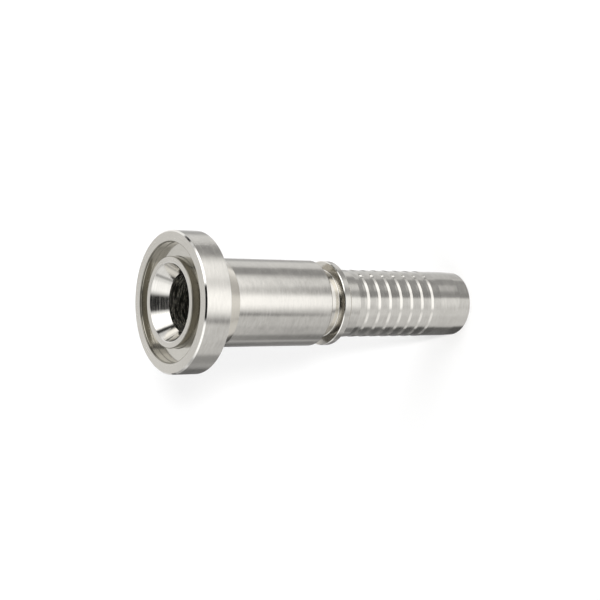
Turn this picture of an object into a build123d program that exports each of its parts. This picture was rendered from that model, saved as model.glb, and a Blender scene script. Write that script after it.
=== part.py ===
"""A straight crimp hose fitting with a flanged head, turned from one stainless steel bar.

The head is clamped against a port by a split flange, with an O-ring in the groove of its face.
The hose is pushed over the barbed tail, and its ferrule is crimped into the lock groove.
The fitting stands on the end of its tail: the origin is the centre of that end, and +Z is the
axis, pointing out of the sealing face.
"""

from build123d import *
from math import radians, tan
import os

# Bore, which runs through the whole fitting, and its conical mouth in the face
bore_diameter = 19.7
mouth_widening = 2.95
mouth_angle = 60.0

# Sealing face, from the mouth outwards: inner land, O-ring groove, outer land
inner_land = 2.55
seal_groove_width = 4.5
seal_groove_depth = 3.1
outer_land = 3.965

# Head, which the split flange clamps from behind
head_thickness = 9.53
head_chamfer = 0.5

# Hose tail, from the bore outwards
tail_wall = 2.2
barb_depth = 0.2
end_land_drop = 0.13
nose_drop = 0.2

# Lock groove for the ferrule, with the collar that closes it
lock_groove_wall = 1.95
lock_groove_width = 5.4
collar_height = 3.1
collar_width = 2.4
collar_chamfer = 0.3

# Neck, and the conical shoulder that carries the head
neck_height = 3.2
neck_length = 37.6
shoulder_rise = 4.0
shoulder_length = 8.67

# Lengths along the tail, from the collar to the end
start_land = 6.45
first_slope = 2.85
barb_count = 7
barb_pitch = 4.9
barb_face = 1.3
last_slope = 3.65
end_land = 8.8
nose_length = 5.4

# Broken edges and the radius that the tool leaves in corners
edge_break = 0.2
corner_radius = 0.3
shoulder_radius = 1.0

# Radii, each from the bore outwards
bore_radius = bore_diameter / 2
mouth_radius = bore_radius + mouth_widening
seal_groove_inner = mouth_radius + inner_land
seal_groove_outer = seal_groove_inner + seal_groove_width
head_radius = seal_groove_outer + outer_land
ridge_radius = bore_radius + tail_wall
root_radius = ridge_radius - barb_depth
end_land_radius = ridge_radius - end_land_drop
nose_radius = end_land_radius - nose_drop
lock_groove_radius = bore_radius + lock_groove_wall
collar_radius = lock_groove_radius + collar_height
neck_radius = lock_groove_radius + neck_height
shoulder_foot = neck_radius + shoulder_rise

# Heights above the end of the tail
nose_top = nose_length
end_land_top = nose_top + end_land
last_ridge = end_land_top + last_slope
first_ridge = last_ridge + (barb_count - 1) * barb_pitch
start_land_bottom = first_ridge + barb_face + first_slope
collar_bottom = start_land_bottom + start_land
collar_top = collar_bottom + collar_width
neck_bottom = collar_top + lock_groove_width
neck_top = neck_bottom + neck_length
head_back = neck_top + shoulder_length
face_height = head_back + head_thickness
mouth_bottom = face_height - mouth_widening / tan(radians(mouth_angle / 2))
seal_groove_floor = face_height - seal_groove_depth


def tail_outline():
    """Nose, end land and barbs, upwards to the collar: each barb's steep side faces the head."""
    points = [
        (nose_radius - edge_break, 0),
        (nose_radius, edge_break),
        (end_land_radius, nose_top),
        (end_land_radius, end_land_top),
    ]
    for barb in range(barb_count):
        ridge = last_ridge + barb * barb_pitch
        points += [(ridge_radius, ridge), (root_radius, ridge + barb_face)]
    points += [(ridge_radius, start_land_bottom), (ridge_radius, collar_bottom)]
    return points


def collar_outline():
    """Collar below the lock groove, chamfered on the side that the ferrule bears on."""
    return [
        (collar_radius - edge_break, collar_bottom),
        (collar_radius, collar_bottom + edge_break),
        (collar_radius, collar_top - collar_chamfer),
        (collar_radius - collar_chamfer, collar_top),
        (lock_groove_radius, collar_top),
        (lock_groove_radius, neck_bottom),
    ]


def neck_outline():
    """Plain neck, then the conical shoulder up to the back of the head."""
    return [
        (neck_radius - edge_break, neck_bottom),
        (neck_radius, neck_bottom + edge_break),
        (neck_radius, neck_top),
        (shoulder_foot, head_back),
    ]


def head_outline():
    """Back, rim and sealing face of the head, with the O-ring groove, inwards to the mouth."""
    return [
        (head_radius - edge_break, head_back),
        (head_radius, head_back + edge_break),
        (head_radius, face_height - head_chamfer),
        (head_radius - head_chamfer, face_height),
        (seal_groove_outer, face_height),
        (seal_groove_outer, seal_groove_floor),
        (seal_groove_inner, seal_groove_floor),
        (seal_groove_inner, face_height),
        (mouth_radius, face_height),
    ]


def bore_outline():
    """Mouth cone and bore, downwards to the broken edge at the end of the tail."""
    return [
        (bore_radius, mouth_bottom),
        (bore_radius, edge_break),
        (bore_radius + edge_break, 0),
    ]


def round_corner(section, radius, height, size):
    """Round the corner of the section that lies nearest to the given radius and height."""
    corner = section.vertices().sort_by_distance((radius, 0, height))[0]
    return fillet(corner, size)


def fitting():
    """One section, half of the fitting cut lengthways, turned about the axis."""
    outline = tail_outline() + collar_outline() + neck_outline() + head_outline() + bore_outline()
    corners = [(radius, 0, height) for radius, height in outline]
    section = make_face(Polyline(corners, close=True))
    section = round_corner(section, lock_groove_radius, collar_top, corner_radius)
    section = round_corner(section, lock_groove_radius, neck_bottom, corner_radius)
    section = round_corner(section, shoulder_foot, head_back, shoulder_radius)
    return revolve(section, Axis.Z)


os.makedirs("parts", exist_ok=True)
export_step(fitting(), "parts/flange_fitting.step")
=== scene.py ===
from math import cos, pi, radians, sin, tan

import bpy
from mathutils import Matrix, Vector


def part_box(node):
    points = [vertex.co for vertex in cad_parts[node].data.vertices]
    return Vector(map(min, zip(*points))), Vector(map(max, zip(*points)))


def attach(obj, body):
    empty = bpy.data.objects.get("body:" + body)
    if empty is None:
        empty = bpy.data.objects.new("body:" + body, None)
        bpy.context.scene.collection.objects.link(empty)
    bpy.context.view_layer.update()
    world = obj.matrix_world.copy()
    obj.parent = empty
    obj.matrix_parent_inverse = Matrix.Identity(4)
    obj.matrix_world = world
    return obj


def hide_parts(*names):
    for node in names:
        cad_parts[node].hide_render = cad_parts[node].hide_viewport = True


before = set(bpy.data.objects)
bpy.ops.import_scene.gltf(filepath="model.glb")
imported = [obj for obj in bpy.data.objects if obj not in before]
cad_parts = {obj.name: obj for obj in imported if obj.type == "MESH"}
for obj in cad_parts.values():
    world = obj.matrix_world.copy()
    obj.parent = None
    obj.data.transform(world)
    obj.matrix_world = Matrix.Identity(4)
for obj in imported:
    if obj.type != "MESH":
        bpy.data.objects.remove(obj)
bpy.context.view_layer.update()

# The sealing face is the flat front of the head, which the port bears on, cut in one fine pass. The
# whole fitting is turned from one stainless bar, so this section starts the outline, which the later
# sections follow over the head, down the tail and back up the bore. All its sizes are millimetres.
millimetre = 0.001
fitting_low, fitting_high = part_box("flange_fitting")
face_height = fitting_high.z / millimetre
mouth_radius = 13.05
mouth_blend = 0.5
face_colour = (0.645, 0.622, 0.575)
finishes = {}


def add_node(tree, kind, inputs=None, **settings):
    """Add a node with its settings. An input is a value, or the output of another node."""
    made = tree.nodes.new("ShaderNode" + kind)
    for name, value in settings.items():
        setattr(made, name, value)
    for name, value in (inputs or {}).items():
        if isinstance(value, bpy.types.NodeSocket):
            tree.links.new(value, made.inputs[name])
        else:
            made.inputs[name].default_value = value
    return made


def calculate(tree, operation, *values):
    """One step of arithmetic on values or outputs of nodes."""
    return add_node(tree, "Math", dict(enumerate(values)), operation=operation).outputs[0]


def scale_vector(tree, vector, scale):
    """Multiply a vector or a colour by one number."""
    return add_node(tree, "VectorMath", {0: vector, "Scale": scale}, operation="SCALE").outputs[0]


def steel_finish(name, colour, roughness, grain, mark_pitch, mark_length, mark_depth, ripple, stain):
    """Turned stainless steel: tool marks run round the axis, mark_length long and mark_pitch
    apart, and slow ripples and stains lie across them. Sizes are in millimetres; stain is the
    share by which the colour goes up and down, and grain stretches highlights across the marks."""
    radius_weight = 2.3
    clouds_per_metre = 220.0
    faintest = 0.7
    strongest = 1.3
    rough_spread = 0.2
    material = bpy.data.materials.new(name)
    material.use_nodes = True
    tree = material.node_tree
    shader = tree.nodes["Principled BSDF"]
    place = add_node(tree, "TexCoord").outputs["Object"]
    parts = add_node(tree, "SeparateXYZ", {"Vector": place}).outputs
    across = add_node(tree, "CombineXYZ", {"X": parts["X"], "Y": parts["Y"]}).outputs[0]
    radius = add_node(tree, "VectorMath", {0: across}, operation="LENGTH").outputs["Value"]
    # This sum of radius and height changes along every slope that the outline has
    along = calculate(tree, "MULTIPLY_ADD", radius, radius_weight, parts["Z"])
    lift = calculate(tree, "DIVIDE", along, mark_pitch * millimetre)
    marks_at = add_node(
        tree,
        "VectorMath",
        {
            0: across,
            1: (1 / (mark_length * millimetre),) * 3,
            2: add_node(tree, "CombineXYZ", {"Z": lift}).outputs[0],
        },
        operation="MULTIPLY_ADD",
    ).outputs[0]
    marks = add_node(
        tree, "TexNoise", {"Vector": marks_at, "Scale": 1.0, "Detail": 3.0, "Roughness": 0.6}
    ).outputs["Fac"]
    marks.node.name = "tool marks"
    clouds = add_node(
        tree,
        "TexNoise",
        {"Vector": place, "Scale": clouds_per_metre, "Detail": 4.0, "Roughness": 0.65},
    ).outputs["Fac"]
    both = calculate(tree, "ADD", marks, clouds)
    # The sum of the two noises, cut off at faintest and strongest, sets the colour and roughness
    spread = {"Value": both, "From Min": faintest, "From Max": strongest}
    shade = add_node(tree, "MapRange", {**spread, "To Min": 1 - stain, "To Max": 1 + stain}).outputs[0]
    tree.links.new(scale_vector(tree, colour, shade), shader.inputs["Base Color"])
    smoothest = roughness * (1 - rough_spread)
    roughest = roughness * (1 + rough_spread)
    rough = add_node(tree, "MapRange", {**spread, "To Min": smoothest, "To Max": roughest}).outputs[0]
    tree.links.new(rough, shader.inputs["Roughness"])
    slow = calculate(tree, "MULTIPLY", clouds, ripple * millimetre)
    depth = calculate(tree, "MULTIPLY_ADD", marks, mark_depth * millimetre, slow)
    bump = add_node(tree, "Bump", {"Height": depth, "Distance": 1.0, "Strength": 1.0}).outputs[0]
    tree.links.new(bump, shader.inputs["Normal"])
    tangent = add_node(tree, "Tangent", direction_type="RADIAL", axis="Z").outputs[0]
    tree.links.new(tangent, shader.inputs["Tangent"])
    shader.inputs["Metallic"].default_value = 1.0
    shader.inputs["Anisotropic"].default_value = grain
    # A quarter turn sets the stretch of the highlights square to the tool marks
    shader.inputs["Anisotropic Rotation"].default_value = 0.25
    return material


finishes["face"] = steel_finish(
    "fine_turned_face",
    face_colour,
    roughness=0.24,
    grain=0.4,
    mark_pitch=0.8,
    mark_length=12,
    mark_depth=0.003,
    ripple=0.002,
    stain=0.03,
)

# Each corner of the outline is (radius, height, rounding, finish of the rounding, finish of the
# stretch after it). The edge where the face meets the mouth of the bore is blended with a stone.
outline = [(mouth_radius, face_height, mouth_blend, "mouth", "face")]

# The O-ring groove is plunged into the face with a form tool, which leaves its walls smooth. The
# inner wall, the lip of the outer one, both top edges and the corners at the floor have a dark
# colour, which is painted shade in the groove. Both top edges are rounded, because the O-ring
# is pressed in over them.
seal_groove_inner = 15.2
seal_groove_outer = 20.0
seal_groove_depth = 3.1
seal_groove_floor = face_height - seal_groove_depth
groove_edge = 0.28
groove_lip = 0.8
groove_corner = 0.2
sharp_edge = 0.02
# Painted shade: this dark colour of the inner wall finish stands for the shade deep in the groove
painted_groove_shade_colour = (0.31, 0.295, 0.255)
outer_wall_colour = (0.58, 0.56, 0.51)
groove_floor_colour = (0.62, 0.6, 0.55)
finishes["inner_wall"] = steel_finish(
    "plunged_wall_painted_shade",
    painted_groove_shade_colour,
    roughness=0.1,
    grain=0.3,
    mark_pitch=0.5,
    mark_length=5,
    mark_depth=0.004,
    ripple=0.002,
    stain=0.1,
)
finishes["outer_wall"] = steel_finish(
    "plunged_outer_wall",
    outer_wall_colour,
    roughness=0.1,
    grain=0.3,
    mark_pitch=0.5,
    mark_length=5,
    mark_depth=0.004,
    ripple=0.002,
    stain=0.1,
)
finishes["groove_floor"] = steel_finish(
    "plunged_groove_floor",
    groove_floor_colour,
    roughness=0.12,
    grain=0.3,
    mark_pitch=0.8,
    mark_length=8,
    mark_depth=0.003,
    ripple=0.002,
    stain=0.05,
)
outline += [
    (seal_groove_inner, face_height, groove_edge, "inner_wall", "inner_wall"),
    (seal_groove_inner, seal_groove_floor, groove_corner, "inner_wall", "groove_floor"),
    (seal_groove_outer, seal_groove_floor, groove_corner, "inner_wall", "outer_wall"),
    (seal_groove_outer, face_height - groove_lip, sharp_edge, "outer_wall", "inner_wall"),
    (seal_groove_outer, face_height, groove_edge, "inner_wall", "face"),
]

# The rim is the edge of the head, round which the two halves of the split flange close. It is
# turned with a coarser feed than the face, and its chamfer is polished. The lighter colour of the
# chamfer, and of the other rounded edges that share its finish, is partly a painted highlight.
head_radius = fitting_high.x / millimetre
head_thickness = 9.53
head_chamfer = 0.5
chamfer_edge = 0.06
broken_edge = 0.2
head_back = face_height - head_thickness
steel_colour = (0.67, 0.65, 0.61)
# Partly painted highlight: this lighter colour on the chamfer, the edges and the corner at the collar
# stands in for bright lines along them
polished_highlight_colour = (0.74, 0.725, 0.69)
finishes["chamfer"] = steel_finish(
    "polished_edge_painted_highlight",
    polished_highlight_colour,
    roughness=0.07,
    grain=0.3,
    mark_pitch=0.4,
    mark_length=3,
    mark_depth=0.002,
    ripple=0.002,
    stain=0.04,
)
finishes["rim"] = steel_finish(
    "turned_rim",
    steel_colour,
    roughness=0.16,
    grain=0.5,
    mark_pitch=0.7,
    mark_length=3,
    mark_depth=0.004,
    ripple=0.006,
    stain=0.06,
)
outline += [
    (head_radius - head_chamfer, face_height, chamfer_edge, "chamfer", "chamfer"),
    (head_radius, face_height - head_chamfer, chamfer_edge, "chamfer", "rim"),
    (head_radius, head_back, broken_edge, "chamfer", "rim"),
]

# The shoulder is a cone that carries the head, formed with one pass of a wide tool and left
# smooth. It runs out into the neck, which is turned to size and rubbed with cloth.
shoulder_foot = 19.0
shoulder_corner = 1.0
shoulder_length = 8.67
neck_radius = 15.0
neck_length = 37.6
neck_edge = 0.4
light_edge = 0.1
neck_top = head_back - shoulder_length
neck_bottom = neck_top - neck_length
shoulder_colour = (0.66, 0.625, 0.56)
finishes["shoulder"] = steel_finish(
    "formed_shoulder",
    shoulder_colour,
    roughness=0.2,
    grain=0.5,
    mark_pitch=0.5,
    mark_length=6,
    mark_depth=0.002,
    ripple=0.002,
    stain=0.04,
)
finishes["neck"] = steel_finish(
    "turned_neck",
    steel_colour,
    roughness=0.15,
    grain=0.5,
    mark_pitch=0.7,
    mark_length=3,
    mark_depth=0.004,
    ripple=0.006,
    stain=0.06,
)
outline += [
    (shoulder_foot, head_back, shoulder_corner, "rim", "shoulder"),
    (neck_radius, neck_top, light_edge, "neck", "neck"),
    (neck_radius, neck_bottom, neck_edge, "neck_end", "neck_end"),
]

# The lock groove takes the inner edge of the ferrule, which is crimped in against the collar below
# it. The end of the neck has a dark colour, which is painted shade. The floor is bright and slightly
# conical, and the corner at the collar is lighter still, as a painted highlight.
lock_groove_radius = 11.8
lock_groove_taper = 0.35
lock_groove_width = 5.15
lock_groove_corner = 0.3
collar_corner = 0.25
collar_radius = 14.9
collar_width = 2.65
collar_chamfer = 0.25
collar_edge = 0.08
collar_lean = 0.15
floor_at_neck = lock_groove_radius - lock_groove_taper
collar_top = neck_bottom - lock_groove_width
collar_bottom = collar_top - collar_width
collar_rim_top = collar_top - collar_lean
# Painted shade: the neck end colour is dark where shade falls at the end of the neck and in the scored
# line
neck_end_painted_shade_colour = (0.4, 0.38, 0.34)
lock_groove_colour = (0.61, 0.59, 0.55)
collar_face_colour = (0.7, 0.675, 0.62)
finishes["neck_end"] = steel_finish(
    "neck_end_painted_shade",
    neck_end_painted_shade_colour,
    roughness=0.12,
    grain=0.3,
    mark_pitch=0.5,
    mark_length=5,
    mark_depth=0.003,
    ripple=0.002,
    stain=0.08,
)
finishes["collar_face"] = steel_finish(
    "plunged_collar_face",
    collar_face_colour,
    roughness=0.14,
    grain=0.3,
    mark_pitch=0.5,
    mark_length=5,
    mark_depth=0.003,
    ripple=0.002,
    stain=0.08,
)
finishes["lock_groove"] = steel_finish(
    "bright_groove",
    lock_groove_colour,
    roughness=0.15,
    grain=0.4,
    mark_pitch=0.5,
    mark_length=4,
    mark_depth=0.003,
    ripple=0.002,
    stain=0.06,
)
outline += [
    (floor_at_neck, neck_bottom, lock_groove_corner, "lock_groove", "lock_groove"),
    (lock_groove_radius, collar_top, collar_corner, "chamfer", "collar_face"),
    (collar_radius - collar_chamfer, collar_rim_top, collar_edge, "chamfer", "chamfer"),
    (collar_radius, collar_rim_top - collar_chamfer, collar_edge, "chamfer", "neck"),
    (collar_radius, collar_bottom, broken_edge, "chamfer", "neck"),
]

# The tail is pushed into the hose. Its barbs are low ridges, each with its steep side towards the
# head so that the hose can't slip off, and they are cut with a pointed tool at one feed. A fine
# line is scored round the land beside the collar, and it has the dark colour of the neck end, as
# painted shade.
ridge_radius = 12.05
root_radius = 11.87
end_land_radius = 11.92
nose_radius = 11.72
start_land = 6.45
tail_corner = 0.15
first_slope = 1.9
barb_count = 7
barb_pitch = 4.9
barb_face = 1.0
barb_foot = 0.8
barb_root = 1.25
barb_root_rise = 0.03
barb_root_bend = 3.0
scored_line = 2.35
scored_width = 0.15
scored_depth = 0.05
last_slope = 3.65
nose_length = 5.4
scored_height = collar_bottom - scored_line
start_land_bottom = collar_bottom - start_land
first_ridge = start_land_bottom - first_slope - barb_root - barb_face
last_ridge = first_ridge - (barb_count - 1) * barb_pitch
tail_end = fitting_low.z / millimetre
finishes["tail"] = steel_finish(
    "turned_tail",
    steel_colour,
    roughness=0.15,
    grain=0.5,
    mark_pitch=0.6,
    mark_length=3,
    mark_depth=0.003,
    ripple=0.005,
    stain=0.06,
)
outline += [
    (ridge_radius, collar_bottom, tail_corner, "tail", "tail"),
    (ridge_radius, scored_height + scored_width, sharp_edge, "neck_end", "neck_end"),
    (ridge_radius - scored_depth, scored_height, sharp_edge, "neck_end", "neck_end"),
    (ridge_radius, scored_height - scored_width, sharp_edge, "neck_end", "tail"),
    (ridge_radius, start_land_bottom, light_edge, "tail", "tail"),
]
for barb in range(barb_count):
    ridge = first_ridge - barb * barb_pitch
    root_top = ridge + barb_face + barb_root
    outline += [
        (root_radius + barb_root_rise, root_top, barb_root_bend, "tail", "tail"),
        (root_radius, ridge + barb_face, barb_foot, "tail", "tail"),
        (ridge_radius, ridge, light_edge, "chamfer", "tail"),
    ]
outline += [
    (end_land_radius, last_ridge - last_slope, light_edge, "tail", "tail"),
    (end_land_radius, tail_end + nose_length, light_edge, "tail", "tail"),
    (nose_radius, tail_end, broken_edge, "chamfer", "tail"),
]

# The bore is drilled right through, and the chips score it with thin scratches, which catch the
# light through their bumps and are also painted bright, as painted glints. Between them the colour
# is painted dark, as painted shade inside the bore. Its mouth is opened with a countersink and
# polished, so that it mirrors the room in sharp bands, with fine rings from the cutter across them.
bore_radius = 9.85
mouth_angle = 60.0
mouth_bottom = face_height - (mouth_radius - bore_radius) / tan(radians(mouth_angle / 2))
scratch_glint_colour = (0.98, 0.95, 0.85)
mouth_colour = (0.66, 0.645, 0.61)
finishes["bore"] = steel_finish(
    "drilled_bore_painted_shade",
    scratch_glint_colour,
    roughness=0.5,
    grain=0.0,
    mark_pitch=0.8,
    mark_length=7,
    mark_depth=0.04,
    ripple=0.02,
    stain=0.3,
)
bore_tree = finishes["bore"].node_tree
bore_tint = bore_tree.nodes["Principled BSDF"].inputs["Base Color"]
marks = bore_tree.nodes["tool marks"].outputs["Fac"]
# A scratch runs along each line where the noise of the tool marks crosses its middle value
middle_value = 0.5
scratch_width = 0.05
# Painted shade and painted glints: the bore colour is cut to this share between the scratches and kept
# bright on them
painted_bore_shade = 0.12
off_middle = calculate(bore_tree, "ABSOLUTE", calculate(bore_tree, "SUBTRACT", marks, middle_value))
scratch_glint_and_shade = add_node(
    bore_tree,
    "MapRange",
    {"Value": off_middle, "From Min": scratch_width, "From Max": 0.0, "To Min": painted_bore_shade},
).outputs[0]
bore_steel = bore_tint.links[0].from_socket
bore_tree.links.new(scale_vector(bore_tree, bore_steel, scratch_glint_and_shade), bore_tint)
finishes["mouth"] = steel_finish(
    "polished_mouth",
    mouth_colour,
    roughness=0.08,
    grain=0.4,
    mark_pitch=0.6,
    mark_length=25,
    mark_depth=0.013,
    ripple=0.003,
    stain=0.06,
)
outline += [
    (bore_radius, tail_end, broken_edge, "chamfer", "bore"),
    (bore_radius, mouth_bottom, light_edge, "mouth", "mouth"),
]

# The turning: the outline goes once round the axis, as the bar does in the lathe. Every corner is
# rounded, an inner one by the nose of the tool and an outer one by the cloth.
turn_steps = 320
arc_steps = 4


def round_corners(corners):
    """Put an arc in place of each corner, as (point, normal, finish of the stretch after it)."""
    arcs = []
    for place, (radius, height, rounding, edge_finish, finish) in enumerate(corners):
        corner = Vector((radius, height))
        following = corners[(place + 1) % len(corners)]
        back_along = (Vector(corners[place - 1][:2]) - corner).normalized()
        ahead_along = (Vector(following[:2]) - corner).normalized()
        normal_before = Vector((back_along.y, -back_along.x))
        normal_after = Vector((-ahead_along.y, ahead_along.x))
        bend = normal_before.angle_signed(normal_after)
        # An arc bulges out of an outer corner and hollows an inner one
        side = 1 if normal_before.dot(ahead_along) < 0 else -1
        start = corner + back_along * rounding * tan(abs(bend) / 2)
        centre = start - normal_before * rounding * side
        for step in range(arc_steps + 1):
            normal = normal_before.copy()
            normal.rotate(Matrix.Rotation(-bend * step / arc_steps, 2))
            next_finish = finish if step == arc_steps else edge_finish
            arcs.append((centre + normal * rounding * side, normal, next_finish))
    return arcs


rounded = round_corners(outline)
ring = len(rounded)
finish_names = list(finishes)
turn_angles = [2 * pi * step / turn_steps for step in range(turn_steps)]
turns = [(cos(angle), sin(angle)) for angle in turn_angles]
vertices = []
for turn_cos, turn_sin in turns:
    for point, normal, finish in rounded:
        spot = Vector((point.x * turn_cos, point.x * turn_sin, point.y))
        vertices.append(spot * millimetre)
faces = []
face_finishes = []
face_normals = []
for step in range(turn_steps):
    next_step = (step + 1) % turn_steps
    for place in range(ring):
        next_place = (place + 1) % ring
        quad = ((step, place), (step, next_place), (next_step, next_place), (next_step, place))
        faces.append([turn * ring + corner for turn, corner in quad])
        face_finishes.append(finish_names.index(rounded[place][2]))
        for turn, corner in quad:
            turn_cos, turn_sin = turns[turn]
            normal = rounded[corner][1]
            face_normals.append((normal.x * turn_cos, normal.x * turn_sin, normal.y))
mesh = bpy.data.meshes.new("turned_fitting")
mesh.from_pydata(vertices, [], faces)
mesh.polygons.foreach_set("material_index", face_finishes)
mesh.polygons.foreach_set("use_smooth", [True] * len(faces))
for name in finish_names:
    mesh.materials.append(finishes[name])
mesh.normals_split_custom_set(face_normals)
mesh.update()
fitting = bpy.data.objects.new("turned_fitting", mesh)
bpy.context.collection.objects.link(fitting)
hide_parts("flange_fitting")
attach(fitting, "root")

# The floor is white paper, which shows white to the camera and keeps the fitting's soft shadow.
# The steel looks through it to the studio, as a fitting held clear of the paper would.
paper_reach = 6.0
paper_colour = (0.8, 0.8, 0.8, 1)
paper_glow = 0.19
paper_corners = [(-1, -1), (1, -1), (1, 1), (-1, 1)]
paper_spots = [(x * paper_reach, y * paper_reach, 0) for x, y in paper_corners]
floor_mesh = bpy.data.meshes.new("floor")
floor_mesh.from_pydata(paper_spots, [], [(0, 1, 2, 3)])
floor = bpy.data.objects.new("floor", floor_mesh)
bpy.context.collection.objects.link(floor)
paper = bpy.data.materials.new("white_paper")
paper.use_nodes = True
paper_tree = paper.node_tree
paper_tree.nodes.clear()
rays = add_node(paper_tree, "LightPath").outputs
matt = add_node(paper_tree, "BsdfDiffuse", {"Color": paper_colour}).outputs[0]
glow_strength = calculate(paper_tree, "MULTIPLY", rays["Is Camera Ray"], paper_glow)
glow = add_node(paper_tree, "Emission", {"Strength": glow_strength}).outputs[0]
lit_paper = add_node(paper_tree, "AddShader", {0: matt, 1: glow}).outputs[0]
clear = add_node(paper_tree, "BsdfTransparent").outputs[0]
surface = add_node(
    paper_tree, "MixShader", {0: rays["Is Glossy Ray"], 1: lit_paper, 2: clear}
).outputs[0]
add_node(paper_tree, "OutputMaterial", {"Surface": surface})
floor_mesh.materials.append(paper)
paper.cycles.emission_sampling = "NONE"

# The studio is a pale room hung with cards, as for a photograph of bright metal: white cards lay
# the light bands along the steel, and black ones draw the dark lines between them. The camera
# itself sees plain white.
wall_level = 0.8
plain_white = (1, 1, 1, 1)
# Each card: name, bearing from the front (right is plus), height, width, depth, level, softness
# of its sides and of its ends, and how far it leans sideways per degree of height, in degrees
cards = [
    ("pale floor", 0, -90, 110, 30, 1.05, 40, 10, 0),
    ("dark floor right", 78, -73, 56, 16, 0.6, 16, 8, 0),
    ("dark floor left", -91, -71, 10, 6, 0.3, 8, 5, 0),
    ("low corner light", 130, -56, 22, 12, 1.2, 14, 10, 0),
    ("left wall", -66, -38, 90, 30, 0.63, 16, 6, 0),
    ("grey left wall", -82, -35, 34, 4, 0.44, 12, 4, 0),
    ("low left wall", -48, -48, 84, 17, 0.73, 16, 6, 0),
    ("low left light", -34, -43, 26, 9, 0.86, 16, 5, 0),
    ("back wall", -150, 28, 55, 40, 0.99, 14, 8, 0),
    ("dark back wall", -168, 41.5, 14, 14, 0.1, 6, 3, 0),
    ("upper left wall", -80, 11, 110, 79, 1.0, 16, 9, 0),
    ("low left box", -46, -20, 30, 7, 1.2, 12, 5, 0),
    ("grey shelf", -80, -20, 26, 8, 0.65, 14, 6, 0),
    ("dark shelf", -110, -24, 38, 7, 0.02, 12, 5, 0),
    ("left soft box", -52, 27, 36, 12, 1.4, 12, 6, 0),
    ("right corner", 140, -34, 56, 22, 0.82, 12, 8, 0),
    ("low right corner", 125, -46, 40, 12, 0.6, 12, 6, 0),
    ("right back", 148, -32, 22, 12, 0.48, 14, 6, 0),
    ("right back light", 173, -38, 10, 12, 1.4, 6, 6, 0),
    ("left back", -170, -35, 22, 18, 0.25, 6, 8, 0),
    ("upper right wall", 142, 8, 54, 50, 1.1, 14, 8, 0),
    ("back light", 155, 30, 18, 8, 1.0, 8, 4, 0),
    ("front wall", 27.5, 2.6, 89, 68, 1.3, 14, 3, 0),
    ("small front box", 0, 21, 30, 11, 1.6, 12, 4, 0),
    ("low right wall", 52, -49, 56, 28, 0.34, 14, 5, 0),
    ("main soft box", 4, -18.5, 34, 39, 1.5, 24, 10, 0),
    ("second soft box", 52.5, -11, 27, 40, 1.58, 12, 4, 0),
    ("low second box", 57, -37, 24, 8, 0.8, 14, 5, 0),
    ("upper right box", 67.5, 40, 54, 46, 2.1, 14, 8, 0),
    ("grey corner right", 84, 31, 26, 10, 1.2, 10, 6, 0),
    ("groove patch", 91, 27, 12, 8, 0.15, 6, 4, 0),
    ("upper left box", -68, 46, 50, 28, 1.4, 14, 8, 0),
    ("grey corner left", -108, 28, 50, 9, 0.55, 10, 4, 0),
    ("left far corner", -136, 17, 30, 24, 0.45, 16, 8, 0),
    ("low black corner", -128, -45, 64, 16, 0.1, 12, 6, 0),
    ("black corner", -126, -33, 62, 14, 0.25, 14, 6, 0),
    ("corner glow", -112, -30.5, 36, 4, 0.42, 14, 3, 0),
    ("corner line", -121, -34, 10, 6, 0.5, 6, 4, 0),
    ("black skirting", -155, -28, 44, 8, 0.14, 8, 5, 0),
    ("grey post", 30, -45, 18, 18, 0.3, 12, 5, 0),
    ("thin black post", -30, -31.5, 8, 9, 0.27, 7, 5, 0.7),
    ("low black strip", 87, -39, 28, 24, 0.36, 12, 8, 0.7),
    ("glint shade", 101, -25, 22, 4, 0.25, 4, 3, 0),
    ("glint", 100.5, -25, 6, 2.5, 3.6, 3, 2, 0),
    ("black strip", 95.2, 5, 12, 44, 0.06, 7, 6, 0),
    ("black patch", 113, 22.5, 16, 9, 0.05, 8, 3, -0.8),
    ("small black patch", 98, 30, 8, 5, 0.1, 6, 4, 0),
    ("grey strip", -85, 16, 10, 14, 0.5, 8, 8, 0),
    ("black notch", -142, 3, 12, 18, 0.2, 6, 8, -0.7),
    ("grey ceiling", 0, 90, 360, 36, 0.6, 0.1, 14, 0),
    ("black hood", 3.5, 56.5, 55, 59, 0.02, 16, 2, 0),
    ("black hood top", -1, 65, 72, 28, 0.02, 12, 6, 0),
]


def mix_colours(tree, share, colour, over):
    """Blend one colour into another. A Mix node takes colours at 6 and 7 and gives one at 2."""
    return add_node(tree, "Mix", {"Factor": share, 6: colour, 7: over}, data_type="RGBA").outputs[2]


def hang_card(tree, light, bearing, height, card):
    """Lay a card over the light that the studio has so far."""
    name, across, up, width, depth, level, side_soft, end_soft, lean = card
    half_turn = 180.0
    rise = calculate(tree, "SUBTRACT", height, up)
    sideways = calculate(tree, "SUBTRACT", bearing, across)
    sideways = calculate(tree, "MULTIPLY_ADD", rise, -lean, sideways)
    sideways = calculate(tree, "WRAP", sideways, half_turn, -half_turn)
    sideways = calculate(tree, "ABSOLUTE", sideways)
    rise = calculate(tree, "ABSOLUTE", rise)
    shares = []
    for distance, size, soft in ((sideways, width, side_soft), (rise, depth, end_soft)):
        shares.append(
            add_node(
                tree,
                "MapRange",
                {"Value": distance, "From Min": (size + soft) / 2, "From Max": (size - soft) / 2},
                interpolation_type="SMOOTHSTEP",
            ).outputs[0]
        )
    covered = calculate(tree, "MULTIPLY", *shares)
    return mix_colours(tree, covered, light, (level, level, level, 1))


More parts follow.
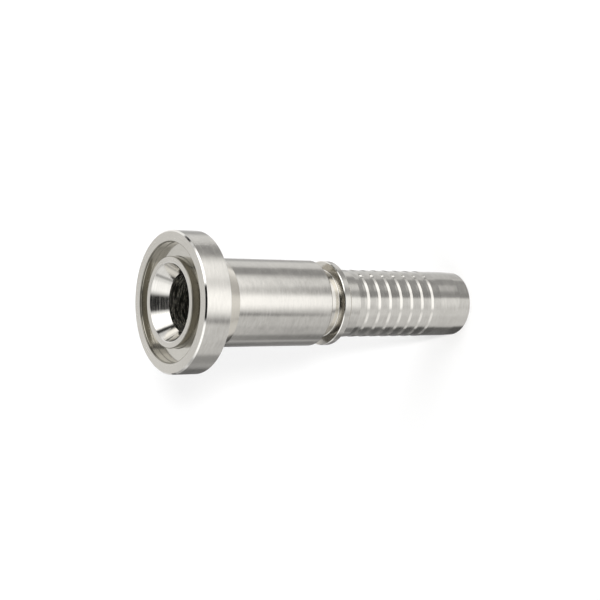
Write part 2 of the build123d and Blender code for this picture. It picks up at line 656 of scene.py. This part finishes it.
studio = bpy.data.worlds.new("studio")
bpy.context.scene.world = studio
studio.use_nodes = True
studio_tree = studio.node_tree
studio_tree.nodes.clear()
ray = add_node(studio_tree, "TexCoord").outputs["Generated"]
parts = add_node(studio_tree, "SeparateXYZ", {"Vector": ray}).outputs
forward = calculate(studio_tree, "MULTIPLY", parts["Y"], -1.0)
turn = calculate(studio_tree, "ARCTAN2", parts["X"], forward)
bearing = calculate(studio_tree, "DEGREES", turn)
height = calculate(studio_tree, "DEGREES", calculate(studio_tree, "ARCSINE", parts["Z"]))
light = add_node(studio_tree, "RGB").outputs[0]
light.default_value = (wall_level, wall_level, wall_level, 1)
for card in cards:
    light = hang_card(studio_tree, light, bearing, height, card)
camera_ray = add_node(studio_tree, "LightPath").outputs["Is Camera Ray"]
seen = mix_colours(studio_tree, camera_ray, light, plain_white)
background = add_node(studio_tree, "Background", {"Color": seen, "Strength": 1.0}).outputs[0]
add_node(studio_tree, "OutputWorld", {"Surface": background})
studio.cycles.sampling_method = "NONE"

# One lamp with a soft edge stands beside the camera and lays the shadow on the paper behind the
# fitting. The steel doesn't mirror it, because its light comes through the cards.
lamp_side = Vector((0.135, -0.86, 0.5))
lamp = bpy.data.lights.new("front_lamp", "SUN")
lamp.energy = 1.5
lamp.angle = radians(6)
lamp_object = bpy.data.objects.new("front_lamp", lamp)
bpy.context.collection.objects.link(lamp_object)
lamp_object.rotation_mode = "QUATERNION"
lamp_object.rotation_quaternion = lamp_side.to_track_quat("Z", "Y")
lamp_object.visible_glossy = False

# The camera looks down on the face from the front, and it is turned on its side, so that the
# standing fitting lies across the picture.
camera_place = (0, -0.38782, 0.33938)
camera_right = Vector((0.00502, -0.57188, -0.82032)).normalized()
camera_up = Vector((0.999985, 0.001114, 0.005342)).normalized()
camera_back = camera_right.cross(camera_up)
camera_turn = Matrix((camera_right, camera_up, camera_back)).transposed()
camera_data = bpy.data.cameras.new("camera")
camera_data.lens = 81.0
camera_data.sensor_width = 36.0
camera = bpy.data.objects.new("camera", camera_data)
bpy.context.collection.objects.link(camera)
camera.matrix_world = Matrix.Translation(camera_place) @ camera_turn.to_4x4()
bpy.context.scene.camera = camera
bpy.context.scene.view_settings.view_transform = "Standard"
